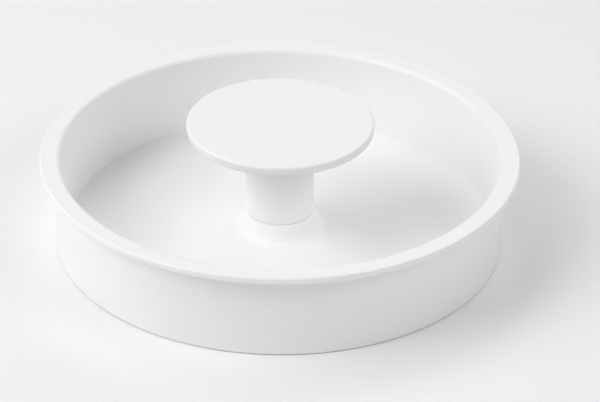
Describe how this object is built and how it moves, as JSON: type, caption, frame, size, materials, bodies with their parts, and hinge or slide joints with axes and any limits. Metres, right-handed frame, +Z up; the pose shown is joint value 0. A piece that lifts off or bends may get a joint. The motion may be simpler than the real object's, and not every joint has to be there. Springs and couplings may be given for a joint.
{
  "type": "lazy susan turntable",
  "caption": "Round white turntable tray with a flanged rim and a disc-topped centre post, turning on a caged ball bearing over a still base with rubber feet.",
  "frame": {"origin": "on the spin axis, at the level of the table that the feet stand on", "axes": "+Z up along the spin axis; +X to the right and +Y away from the camera of the reference view"},
  "size_m": [0.28, 0.28, 0.076],
  "materials": {
    "tray_white": "satin white moulded plastic",
    "handle_white": "satin white moulded plastic",
    "base_white": "matt off-white moulded plastic",
    "cage_plastic": "natural grey moulded plastic",
    "ball_steel": "polished bearing steel",
    "screw_steel": "zinc-plated steel",
    "foot_rubber": "soft dark grey rubber"
  },
  "bodies": {
    "base": {"base": "base_white", "foot_1": "foot_rubber", "foot_2": "foot_rubber", "foot_3": "foot_rubber", "foot_4": "foot_rubber", "foot_5": "foot_rubber", "foot_6": "foot_rubber"},
    "cage": {"ball_cage": "cage_plastic", "ball_01": "ball_steel", "ball_02": "ball_steel", "ball_03": "ball_steel", "ball_04": "ball_steel", "ball_05": "ball_steel", "ball_06": "ball_steel", "ball_07": "ball_steel", "ball_08": "ball_steel", "ball_09": "ball_steel", "ball_10": "ball_steel", "ball_11": "ball_steel", "ball_12": "ball_steel", "ball_13": "ball_steel", "ball_14": "ball_steel", "ball_15": "ball_steel", "ball_16": "ball_steel"},
    "tray": {"tray": "tray_white", "handle_post": "handle_white", "handle_disc": "handle_white", "handle_screws": "screw_steel", "disc_screws": "screw_steel", "pivot_screw": "screw_steel", "pivot_washer": "screw_steel"}
  },
  "joints": [
    {"name": "tray_spin", "type": "hinge", "parent": "base", "child": "tray", "pos_m": [0, 0, 0.0072], "axis": [0, 0, 1], "continuous": true},
    {"name": "cage_spin", "type": "hinge", "parent": "base", "child": "cage", "pos_m": [0, 0, 0.0043], "axis": [0, 0, 1], "continuous": true}
  ],
  "couplings": [
    {"joint": "cage_spin", "follows": "tray_spin", "ratio": 0.5}
  ]
}
